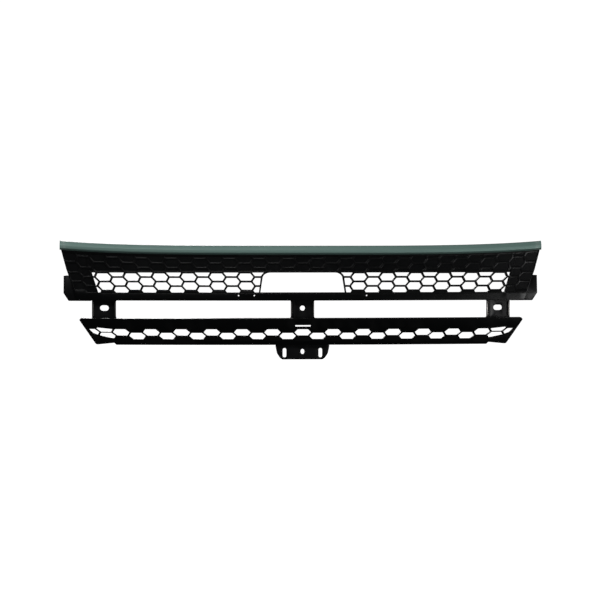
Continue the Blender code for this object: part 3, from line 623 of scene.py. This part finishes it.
def cap(side):
    """A solid end of the strip's own section, hooked over the fascia; its outer edges are rounded."""
    seat = FASCIA_TOP + GAP + 0.0005
    section = np.array(face_section() + [(LIP_REAR, seat), (-GAP, seat)])
    section = filleted(section, FACE_RADII + [0.0008, 0.001], 5)
    rings = [(side * (TRIM_HALF - back), inset(section, inward)) for inward, back in edge(0.0024, 4)]
    rings.append((side * (TRIM_HALF - CAP), section))
    return together([stacked([np.column_stack([np.full(len(ring), x), ring]) for x, ring in rings])])


seal_low, seal_half = FASCIA_TOP + GAP, TRIM_HALF - 0.015
seal = box(SEAL_FRONT, REAR_RIM, seal_low, seal_low + SEAL_THICK)
seal = drawn(filleted(seal, 0.0014, 4), -seal_half, seal_half)
finished("painted_strip", trim(), leaning, "painted_strip", ["top_trim"], LEANING_HEIGHTS, sharp=40)
for name, side in SIDES:
    finished("cap_" + name, cap(side), leaning, "painted_strip", ["trim_cap_" + name], sharp=40)
finished("top_rubber", together([seal]), leaning, "rubber_seal", ["top_seal"], LEANING_HEIGHTS)

# %% [markdown]
# ## The lower panel and its honeycomb
# The lower panel slopes forward with height, and its ends sweep back to points. Its front is drawn
# flat and pushed to the slope by a follow function. The zigzag window is the outline of two staggered
# rows of cells, so neighbouring cells are cut in turns: first every other column, then the rest.

# %% Mould the lower panel
LOWER_FAN, LOWER_FAN_HEIGHT, LOWER_PITCH, LOWER_RIM = 0.49, 0.1024, 0.05595, 0.0036
LOW_ROW, HIGH_ROW = 0.0887, 0.1024
LOWER_SKIN = 1.08 * SKIN
BRACKET_BOLTS = [(x, 0.0655) for x in (-0.082, -0.030, 0.030, 0.082)]
LOWER_PINS = both([(0.1678, 0.1235), (0.5035, 0.1235)])


def set_back(points):
    """Pieces drawn from the panel's face backwards are first pushed to its slope."""
    points = points.copy()
    points[:, 1] += lower_slope(points[:, 2])
    return swept(points)


def lower_fanned(outline):
    return fanned(outline, LOWER_FAN, LOWER_FAN_HEIGHT)


def lower_cells(grow=0.0):
    """Three sets of cells, none of which overlap within a set, each grown by a wall."""
    def cell(column, height):
        return hexagon(column * LOWER_PITCH, height, 0.0310 + 1.3 * grow, 0.0190 + 0.45 * grow, 0.0121 + grow)

    end = np.array([(0.690, 0.0790), (0.716, 0.0812), (0.754, 0.0895), (0.777, 0.0990), (0.787, 0.1145),
                    (0.781, 0.1195), (0.764, 0.1225), (0.716, 0.1165), (0.690, 0.1140)])
    end = inset(end, -grow)
    ends = [cell(13, LOW_ROW), cell(13, 2 * HIGH_ROW - LOW_ROW), cell(14, HIGH_ROW)]
    ends = [moulded(keep_inside(outline, end)) for outline in ends]
    odd = [cell(column, LOW_ROW) for column in range(-11, 12, 2)]
    even = [cell(column, HIGH_ROW) for column in range(-12, 13, 2)]
    odd, even = ([moulded(outline, 0.0015) for outline in row] for row in (odd, even))
    low, high, last = ([outline, mirrored(outline)] for outline in ends)
    return [[lower_fanned(outline) for outline in row] for row in (odd + last, even, low, high)]


def lower_outline():
    right = np.array([(0.690, LOWER_BOTTOM), (0.697, LOWER_BOTTOM + 0.0075), (0.765, LOWER_BOTTOM + 0.0005),
                      (0.827, 0.148), (0.820, SLOT_BOTTOM)])
    outline = np.concatenate([right, mirrored(right)])
    return filleted(outline, [0.004, 0.004, 0.010, 0.004, 0.003, 0.003, 0.004, 0.010, 0.004, 0.004], 4)


def sloped(profile, share=1):
    """Gives each profile step its share of the slope."""
    return [(*step, share) for step in profile]


def lower_panel():
    profile = sloped(edge(0.0012, 3)) + [(0, REAR_RIM - 0.0004, 0), (0.0004, REAR_RIM, 0)]
    tray = together([plate(lower_outline(), profile, lower_slope)])
    hollow = [(SKIN + 0.001, LOWER_SKIN, 1), (SKIN, LOWER_SKIN + 0.001, 1), (SKIN, REAR_RIM + 0.01, 0)]
    tray = cut(tray, plate(lower_outline(), hollow, lower_slope))
    for row in lower_cells(LOWER_RIM + GAP):
        tray = cut(tray, *[plate(cell, sloped(through(0, LOWER_SKIN, 0.0007)), lower_slope) for cell in row])
    slit = filleted(box(-0.0283, 0.0283, 0.1246, 0.1297), 0.0008, 3)
    tray = cut(tray, plate(slit, sloped(through(0, LOWER_SKIN, 0.0006)), lower_slope))
    bosses = BRACKET_BOLTS + post_screws(LOW_SCREWS)
    boss = [(0, LOWER_SKIN - 0.001, 1), (0, REAR_RIM - 0.0004, 0), (0.0004, REAR_RIM, 0)]
    pin = sloped([(0, LOWER_SKIN - 0.001), (0, 0.0095), (0.001, 0.0105)])
    tray = join(tray, *rounds(bosses, BOSS, boss, lower_slope), *rounds(LOWER_PINS, PIN, pin, lower_slope))
    return cut(tray, *rounds(bosses, PILOT, pilot(0.0115)))


def lower_mesh():
    front, rear, back = MESH_FRONT, MESH_REAR - 0.002, LOWER_SKIN + GAP
    flange = np.array([(0.030, 0.0695), (0.772, 0.0695), (0.793, 0.1300), (0.036, 0.1300), (0.036, 0.1215)])
    flange = lower_fanned(np.concatenate([flange, mirrored(flange)]))
    insert = together([plate(flange, between(back, back + FLANGE, 0.0003))])
    for row in lower_cells(LOWER_RIM + SNUG):
        insert = join(insert, *[plate(cell, between(front, rear, 0.0005)) for cell in row])
    for row in lower_cells(-0.0004):
        insert = cut(insert, *[plate(cell, through(front, rear, 0.0006)) for cell in row])
    return cut(insert, *rounds(LOWER_PINS, PIN_HOLE, through(back, back + FLANGE, 0.0002)))


finished("lower_face", lower_panel(), swept, "black_plastic", ["lower_panel"], (SLOT_BOTTOM,))
finished("lower_honeycomb", lower_mesh(), set_back, "black_plastic", ["lower_mesh"])

# %% [markdown]
# ## Posts and brackets
# Three steel posts tie the two mouldings together across the air slots. They widen behind the
# mouldings, which rounds the slots' corners, and their sides are folded forwards. A pad round each
# hole meets the cab. A plate hangs below the middle and two folded brackets hold the outer ends.

# %% Press the posts and the centre bracket
POST_LOW, POST_HIGH, POST_PLATE, HOLE_HEIGHT = 0.1385, 0.2385, 0.004, 0.1910
OBLONG_HOLE, ROUND_HOLE = (0.0165, 0.0100), (0.0093, 0.0093)
PLATE_REAR = PLATE_FRONT + POST_PLATE
PAD_REAR, PAD_RIM = PLATE_REAR + 0.0035, 0.0090
POST_SCREWS = post_screws(LOW_SCREWS) + post_screws(HIGH_SCREWS)


def post(centre):
    """A pressed plate with a pad, forward sides, four screw holes and the hole for the cab's bolt."""
    wide, outer, slot_low, slot_high = POST_HALF + 0.005, POST_HALF + 0.003, SLOT_BOTTOM, FASCIA_LOW
    flared_side = [(wide, POST_LOW, 0.003), (wide, slot_low, 0), (POST_HALF, slot_low, 0.0049),
                   (POST_HALF, slot_high, 0.0049), (wide, slot_high, 0), (wide, POST_HIGH, 0.003)]
    outer_side = [(wide, POST_LOW, 0.003), (wide, slot_low, 0), (outer, slot_low, 0.0019),
                  (outer, POST_HIGH, 0.003)]
    right = np.array(outer_side if centre > 0 else flared_side)
    left = np.array(outer_side if centre < 0 else flared_side)[::-1] * (-1, 1, 1)
    corners = np.concatenate([right, left])
    outline = filleted(corners[:, :2], corners[:, 2], 5) + (centre, 0)
    steel = together([plate(outline, between(PLATE_FRONT, PLATE_REAR, 0.0005))])
    low, high = slot_low + 0.0055, slot_high - 0.0055
    for start in (centre - POST_HALF, centre + POST_HALF - POST_PLATE):
        fold = box(start + 0.00005, start + POST_PLATE - 0.00005, low, high)
        steel = join(steel, plate(fold, between(PLATE_FRONT - 0.009, PLATE_FRONT + 0.002, 0.0008)))
    hole = oblong(centre, HOLE_HEIGHT, *OBLONG_HOLE) if centre else ellipse(0, HOLE_HEIGHT, *ROUND_HOLE, 32)
    pad = [(0, PLATE_REAR - 0.001), (0, PAD_REAR - 0.0005), (0.0005, PAD_REAR)]
    steel = join(steel, plate(inset(hole, -PAD_RIM), pad))
    steel = cut(steel, plate(hole, through(PLATE_FRONT, PAD_REAR, 0.0006)))
    holes = [point for point in POST_SCREWS if abs(point[0] - centre) < 0.1]
    return cut(steel, *rounds(holes, SCREW_HOLE, through(PLATE_FRONT, PLATE_REAR, 0.0002)))


def centre_bracket():
    right = np.array([(0.0745, 0), (0.0830, 0.0055), (0.0910, 0.0170), (0.0950, 0.0240), (0.100, 0.0480),
                      (0.100, 0.0735)])
    outline = filleted(np.concatenate([right, mirrored(right)]), 0.003, 3)
    steel = together([plate(outline, between(PLATE_FRONT, PLATE_REAR, 0.0006))])
    holes = [oblong(x, 0.0253, 0.0067, 0.0172, 12) for x in (-0.0666, 0.0666)]
    holes.append(ellipse(0, 0.0298, 0.0070, 0.0095, 32))
    steel = cut(steel, *[plate(hole, through(PLATE_FRONT, PLATE_REAR, 0.0006)) for hole in holes])
    return cut(steel, *rounds(BRACKET_BOLTS, SCREW_HOLE, through(PLATE_FRONT, PLATE_REAR, 0.0002)))


for name, centre in POSTS.items():
    finished(name + "_pressing", post(centre), bowed, "coated_steel", [name])
finished("centre_pressing", centre_bracket(), bowed, "coated_steel", ["centre_bracket"])

# %% Fold the side brackets
FOOT_REAR, FOOT_WIDTH, FOOT_HOLE = PLATE_FRONT + 0.034, 0.032, 0.0045


def side_bracket(side):
    """A plate behind the fascia's end, an outer wall, and a foot turned in behind, each 4 mm thick."""
    inner, low, outer, high = 0.7820, 0.2170, 0.8875, 0.3120
    front = np.array([(inner, low), (outer - 0.019, low), (outer, low + 0.029), (outer, high), (inner, high)])
    front = filleted(front, [0.004, 0.004, 0.004, 0, 0.004], 3)
    wall = box(outer - POST_PLATE, outer - 0.00005, low + 0.032, high - 0.00005)
    foot = box(outer - FOOT_WIDTH, outer - 0.0001, low + 0.03205, high - 0.0001)
    hole = (outer - 0.6 * FOOT_WIDTH, (low + 0.032 + high) / 2)
    screws = EAR_SCREWS
    if side < 0:
        front, wall, foot = mirrored(front), mirrored(wall), mirrored(foot)
        hole, screws = (-hole[0], hole[1]), [(-x, height) for x, height in screws]
    steel = join(together([plate(front, between(PLATE_FRONT, PLATE_REAR, 0.0006))]),
                 plate(wall, [(0, PLATE_REAR - 0.001), (0, FOOT_REAR - 0.002)]))
    steel = join(steel, plate(filleted(foot, 0.003, 3), between(FOOT_REAR - POST_PLATE, FOOT_REAR, 0.0008)))
    steel = cut(steel, *rounds(screws, SCREW_HOLE, through(PLATE_FRONT, PLATE_REAR, 0.0002)))
    bored = through(FOOT_REAR - POST_PLATE, FOOT_REAR, 0.0005)
    return cut(steel, *rounds([hole], FOOT_HOLE, bored, sides=24))


for name, side in SIDES:
    finished("side_pressing_" + name, side_bracket(side), bracketed, "coated_steel", ["side_bracket_" + name],
             (LEAN_HEIGHT,))

# %% [markdown]
# ## Fasteners
# Plated screws with domed heads and a cross recess are driven from behind into the bosses. Stamped
# star rings grip the moulded pins, and folded steel clips slide over the rear tabs. Screws and rings
# are turned shapes, so each kind is drawn once and set out along its row of places.

# %% Turn the screws, stamp the rings, fold the clips
SEAT, SCREW_TIP, HEAD, SHANK = PLATE_REAR + GAP, 0.0175, 0.0048, 0.0017


def turned(x, height, profile, sides=20):
    """Surface of a (radius, depth) profile about the depth axis through (x, height)."""
    profile, turn = np.array(profile), (np.arange(sides) + 0.5) * 2 * pi / sides
    radius, depth = profile[:, :1], profile[:, 1:] + 0 * turn
    return stacked(np.stack([x + radius * np.cos(turn), depth, height - radius * np.sin(turn)], axis=-1))


def screws(points, seat, tip):
    """Pan heads: a quarter ellipse over a short rim; the shank's thread is a row of small ridges."""
    turn = np.linspace(pi / 2, 0.12, 7)
    head = np.stack([HEAD * np.cos(turn), seat + 0.0010 + 0.0018 * np.sin(turn)], axis=1)
    pitch = np.arange(seat - 0.0006, tip + 0.0016, -0.0009)
    thread = np.stack([np.where(np.arange(2 * len(pitch)) % 2, SHANK - 0.0002, SHANK + 0.0001),
                       np.repeat(pitch, 2) - np.tile([0, 0.00045], len(pitch))], axis=1)
    head[0, 0] = 0.0004
    profile = [*head, (HEAD, seat + 0.0002), (HEAD - 0.0002, seat), (SHANK, seat), *thread, (0.0004, tip)]
    made = together([turned(x, height, profile) for x, height in points])
    for wide, high in ((0.0022, 0.0005), (0.0005, 0.0022)):
        made = cut(made, *[plate(box(x - wide, x + wide, height - high, height + high),
                                 [(0.0003, seat + 0.0012), (0, seat + 0.006)]) for x, height in points])
    return made


def star_rings(points, front):
    """Rings whose hole has six teeth: the hole's radius swings between 2.65 and 3.5 mm."""
    made = together(rounds(points, 0.0050, between(front, front + 0.0010, 0.0002), sides=24))
    turn = np.arange(12) * pi / 6
    radius = np.where(np.arange(12) % 2, 0.0035, 0.00265)
    star = np.stack([radius * np.cos(turn), radius * np.sin(turn)], axis=1)
    profile = [(0, front - 0.005), (0, front + 0.006)]
    return cut(made, *[plate(star + (x, height), profile) for x, height in points])


def clip(x):
    high, low = FASCIA_TOP - 0.0005 + GAP, FASCIA_TOP - SKIN + 0.0005 - GAP
    front, back, steel = REAR_RIM + 0.006, REAR_RIM + 0.026 + GAP, 0.0012
    section = np.array([(front, high), (back, high), (back, low), (front, low), (front, low - steel),
                        (back + steel, low - steel), (back + steel, high + steel), (front, high + steel)])
    bent = filleted(section, [0, 0.0006, 0.0006, 0, 0.0003, 0.0015, 0.0015, 0.0003], 4)
    return drawn(bent, x - 0.008, x + 0.008)


def nodes_of(prefix, count):
    return [f"{prefix}_{number}" for number in range(1, count + 1)]


NUT_FRONT = SKIN + 2 * GAP + FLANGE
post_nodes = [node for name in POSTS for node in nodes_of(name + "_screw", 4)]
side_nodes = nodes_of("side_screw_left", 2) + nodes_of("side_screw_right", 2)
upper_rings = nodes_of("push_nut_left", 4) + nodes_of("push_nut_right", 4) + nodes_of("push_nut_centre", 2)
finished("post_screws", screws(POST_SCREWS, SEAT, SCREW_TIP), bowed, "plated_steel", post_nodes)
finished("bracket_screws", screws(BRACKET_BOLTS, SEAT, SCREW_TIP), bowed, "plated_steel",
         nodes_of("bracket_bolt", 4))
finished("side_screws", screws(both(EAR_SCREWS), SEAT, SCREW_TIP), leaning, "plated_steel", side_nodes)
finished("strip_screws", screws(both(TRIM_SCREWS), BACK, 0.0045 - TRIM_PROUD), leaning, "plated_steel",
         nodes_of("trim_screw", 6))
finished("upper_rings", star_rings(both(INSERT_PINS) + FRAME_PINS, NUT_FRONT), leaning, "plated_steel",
         upper_rings)
finished("lower_rings", star_rings(LOWER_PINS, NUT_FRONT + LOWER_SKIN - SKIN), set_back, "plated_steel",
         nodes_of("push_nut_lower", 4))
finished("tab_clips", together([clip(x) for x in TABS]), leaning, "plated_steel", nodes_of("clip_nut", 3))

# %% [markdown]
# ## Writing shader sums in Python
# A finish is a small sum of noises and masks. The class below wraps one output of a node tree, so
# that plus, minus and times add their Math nodes by themselves, and one method adds any other
# kind of node: its settings are set first, then numbers and links are plugged in.

# %% Wrap a shader socket
class Value:
    def __init__(self, tree, socket=None):
        self.tree, self.socket = tree, socket

    def node(self, kind, settings, inputs, output=0):
        made = self.tree.nodes.new(kind)
        for name, setting in settings.items():
            setattr(made, name, setting)
        for name, value in inputs.items():
            if isinstance(value, Value):
                self.tree.links.new(value.socket, made.inputs[name])
            else:
                made.inputs[name].default_value = value
        return Value(self.tree, made.outputs[output])

    def maths(self, operation, first, second=0.0):
        return self.node("ShaderNodeMath", {"operation": operation}, {0: first, 1: second})

    def __add__(self, other):
        return self.maths("ADD", self, other)

    def __sub__(self, other):
        return self.maths("SUBTRACT", self, other)

    def __rsub__(self, other):
        return self.maths("SUBTRACT", other, self)

    def __mul__(self, other):
        return self.maths("MULTIPLY", self, other)

    __radd__, __rmul__ = __add__, __mul__

    def clamped(self):
        return self.node("ShaderNodeClamp", {}, {"Value": self})

    def noise(self, place, scale, detail=3.0, rough=0.55):
        """Soft noise from 0 to 1; the scale is in repeats per metre."""
        return self.node("ShaderNodeTexNoise", {}, {"Vector": place, "Scale": scale, "Detail": detail,
                                                   "Roughness": rough}, "Fac")

    def mixed(self, first, second):
        """Blends two colours by this value."""
        return self.node("ShaderNodeMix", {"data_type": "RGBA"}, {0: self, 6: first, 7: second}, 2)

    def bump(self, height, strength, distance):
        return self.node("ShaderNodeBump", {}, {"Height": height, "Strength": strength, "Distance": distance})


def finish_tree(name):
    """A fresh material: gives its tree, object coordinates, an edge mask and a way to close it."""
    material = bpy.data.materials.new(name)
    material.use_nodes = True
    tree = material.node_tree
    tree.nodes.clear()
    start = Value(tree)
    place = start.node("ShaderNodeTexCoord", {}, {}, "Object")
    pointed = start.node("ShaderNodeNewGeometry", {}, {}, "Pointiness")
    edges = ((pointed - 0.51) * 14.0).clamped()

    def close(**inputs):
        words = {key.replace("_", " "): value for key, value in inputs.items()}
        surface = start.node("ShaderNodeBsdfPrincipled", {}, words)
        output = tree.nodes.new("ShaderNodeOutputMaterial")
        tree.links.new(surface.socket, output.inputs["Surface"])
        return material

    return start, place, edges, close


print("shader values can be added:", hasattr(Value, "__radd__"))

# %% [markdown]
# ## Black moulded plastic
# The mouldings are black and nearly matt: a fine grain from the mould's etched face, faint large
# patches where the melt flowed, a little grey dust, and edges polished a bit lighter by handling.

# %% Black plastic
def black_plastic():
    start, place, edges, close = finish_tree("black moulded plastic")
    flow = start.noise(place, 9.0, 2.0)
    grain = start.noise(place, 2600.0, 2.0, 0.6)
    dust = ((start.noise(place, 55.0, 5.0, 0.65) - 0.52) * 3.0).clamped()
    colour = (flow * 0.6 + dust * 0.3).mixed((0.0012, 0.0013, 0.0015, 1), (0.0026, 0.0028, 0.0030, 1))
    colour = (edges * 0.5).mixed(colour, (0.0065, 0.0065, 0.0065, 1))
    rough = 0.24 + flow * 0.06 + dust * 0.10 + grain * 0.04
    normal = start.bump(grain + flow * 0.4, 0.30, 0.00006)
    return close(Base_Color=colour, Roughness=rough, Normal=normal, Specular_IOR_Level=0.10)


# %% [markdown]
# ## Painted strip
# The strip wears a dull grey-green metallic paint under a clear coat. Fine flakes speckle its colour
# and roughness a little, the tone drifts gently along the strip, and the coat has a slight ripple.
# Specks of grime gather in it, and the edges are rubbed lighter.

# %% Metallic paint
def metallic_paint():
    start, place, edges, close = finish_tree("grey-green metallic paint")
    drift = start.noise(place, 3.0, 2.0)
    flakes = start.noise(place, 3400.0, 1.0, 0.5)
    grime = ((start.noise(place, 70.0, 5.0, 0.65) - 0.60) * 4.0).clamped()
    colour = (drift * 0.7 + flakes * 0.3).mixed((0.082, 0.142, 0.126, 1), (0.132, 0.214, 0.190, 1))
    colour = (edges * 0.35).mixed(colour, (0.26, 0.32, 0.30, 1))
    colour = (grime * 0.35).mixed(colour, (0.060, 0.075, 0.066, 1))
    rough = 0.48 + flakes * 0.12 + grime * 0.15
    ripple = start.bump(start.noise(place, 420.0, 2.0), 0.10, 0.0001)
    return close(Base_Color=colour, Roughness=rough, Metallic=0.35 - grime * 0.2, Normal=ripple,
                 Coat_Weight=0.20, Coat_Roughness=0.25, Specular_IOR_Level=0.4)


# %% [markdown]
# ## Coated steel, zinc plate and rubber
# The posts and brackets are steel with a black electro-coat that follows the rolled sheet's faint
# waviness, with bright steel just showing on worn edges. Fasteners are zinc plated, mottled between a
# clear and a yellowish tone, with dull deposits. The seal is matt foam rubber with open pores, painted
# darker inside as painted shade.

# %% Steel, zinc and rubber
def coated_steel():
    start, place, edges, close = finish_tree("black coated steel")
    waves, grain = start.noise(place, 30.0, 3.0), start.noise(place, 1500.0, 3.0, 0.6)
    worn = ((edges + grain * 0.6 - 0.95) * 5.0).clamped()
    colour = waves.mixed((0.0030, 0.0031, 0.0034, 1), (0.0065, 0.0065, 0.0070, 1))
    colour = worn.mixed(colour, (0.22, 0.21, 0.20, 1))
    rough = 0.26 + waves * 0.10 + grain * 0.06
    normal = start.bump(waves + grain * 0.25, 0.35, 0.0001)
    return close(Base_Color=colour, Roughness=rough, Metallic=worn * 0.9, Normal=normal,
                 Specular_IOR_Level=0.10)


def zinc_plate():
    start, place, edges, close = finish_tree("zinc plate")
    mottle, fine = start.noise(place, 240.0, 4.0), start.noise(place, 2400.0, 2.0)
    colour = mottle.mixed((0.46, 0.47, 0.48, 1), (0.60, 0.55, 0.42, 1))
    colour = (edges * 0.4).mixed(colour, (0.75, 0.75, 0.74, 1))
    dull = ((fine - 0.60) * 5.0).clamped()
    colour = (dull * 0.5).mixed(colour, (0.30, 0.29, 0.27, 1))
    rough = 0.28 + mottle * 0.14 + dull * 0.25
    return close(Base_Color=colour, Roughness=rough, Metallic=1.0 - dull * 0.4,
                 Normal=start.bump(fine, 0.2, 0.00004))


def foam_rubber():
    start, place, edges, close = finish_tree("foam rubber")
    patches, pores = start.noise(place, 40.0, 3.0), start.noise(place, 1800.0, 4.0, 0.7)
    holes = ((pores - 0.55) * 6.0).clamped()
    colour = patches.mixed((0.010, 0.010, 0.010, 1), (0.019, 0.019, 0.018, 1))
    # Painted shade: the colour is darkened inside the open pores, a little less on edges.
    colour = (holes * 0.6 - edges * 0.2).clamped().mixed(colour, (0.004, 0.004, 0.004, 1))
    return close(Base_Color=colour, Roughness=0.80 + holes * 0.15, Normal=start.bump(pores, 0.6, 0.0003),
                 Specular_IOR_Level=0.3)


finishes = {"black_plastic": black_plastic(), "painted_strip": metallic_paint(),
            "coated_steel": coated_steel(), "plated_steel": zinc_plate(), "rubber_seal": foam_rubber()}
for piece, slot in pieces.values():
    piece.data.materials.clear()
    piece.data.materials.append(finishes[slot])
print("finishes:", ", ".join(finish.name for finish in finishes.values()))

# %% [markdown]
# ## Floor, background and light
# The grille hangs over a plain pale floor in a white room. A big soft light stands high in front on
# the left, so the strip shows its painted face, and a weaker one on the right draws faint highlights
# on the black ledges. A third one behind shows the ribs and screws there. The room lights the object
# far less than it shows to the camera, and the floor not at all, so that black stays black.

# %% Light the stage
REACH, FLOOR_HEIGHT = 30, -0.62
corners = [(x, y, FLOOR_HEIGHT) for x, y in box(-REACH, REACH, -REACH, REACH)]
floor = bpy.data.meshes.new("floor")
floor.from_pydata(corners, [], [(0, 1, 2, 3)])
pale = bpy.data.materials.new("pale floor")
pale.use_nodes = True
paint = pale.node_tree.nodes["Principled BSDF"]
paint.inputs["Base Color"].default_value = (0.93, 0.93, 0.93, 1)
paint.inputs["Roughness"].default_value = 0.9
paint.inputs["Emission Color"].default_value = (1, 1, 1, 1)
paint.inputs["Emission Strength"].default_value = 1.0
floor.materials.append(pale)
floor = bpy.data.objects.new("floor", floor)
bpy.context.scene.collection.objects.link(floor)
floor.visible_diffuse = floor.visible_glossy = False
floor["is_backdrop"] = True


def soft_light(name, place, power, width, height, aim=(0, 0, 0)):
    lamp = bpy.data.lights.new(name, "AREA")
    lamp.shape, lamp.size, lamp.size_y, lamp.energy = "RECTANGLE", width, height, power
    holder = bpy.data.objects.new(name, lamp)
    holder.location = place
    holder.rotation_euler = (Vector(aim) - Vector(place)).to_track_quat("-Z", "Y").to_euler()
    bpy.context.scene.collection.objects.link(holder)


soft_light("key", (-1.2, -4.4, 4.0), 215, 3.0, 1.4)
soft_light("side", (3.4, -3.6, -0.3), 105, 1.4, 1.0)
soft_light("back", (-1.5, 4.0, 2.2), 260, 2.5, 1.6)

world = bpy.data.worlds.new("white room")
world.use_nodes = True
bpy.context.scene.world = world
room = Value(world.node_tree)
seen = room.node("ShaderNodeLightPath", {}, {}, "Is Camera Ray")
background = world.node_tree.nodes["Background"]
strength = 0.06 + seen
world.node_tree.links.new(strength.socket, background.inputs["Strength"])
background.inputs["Color"].default_value = (1, 1, 1, 1)
bpy.context.scene.view_settings.view_transform = "Standard"
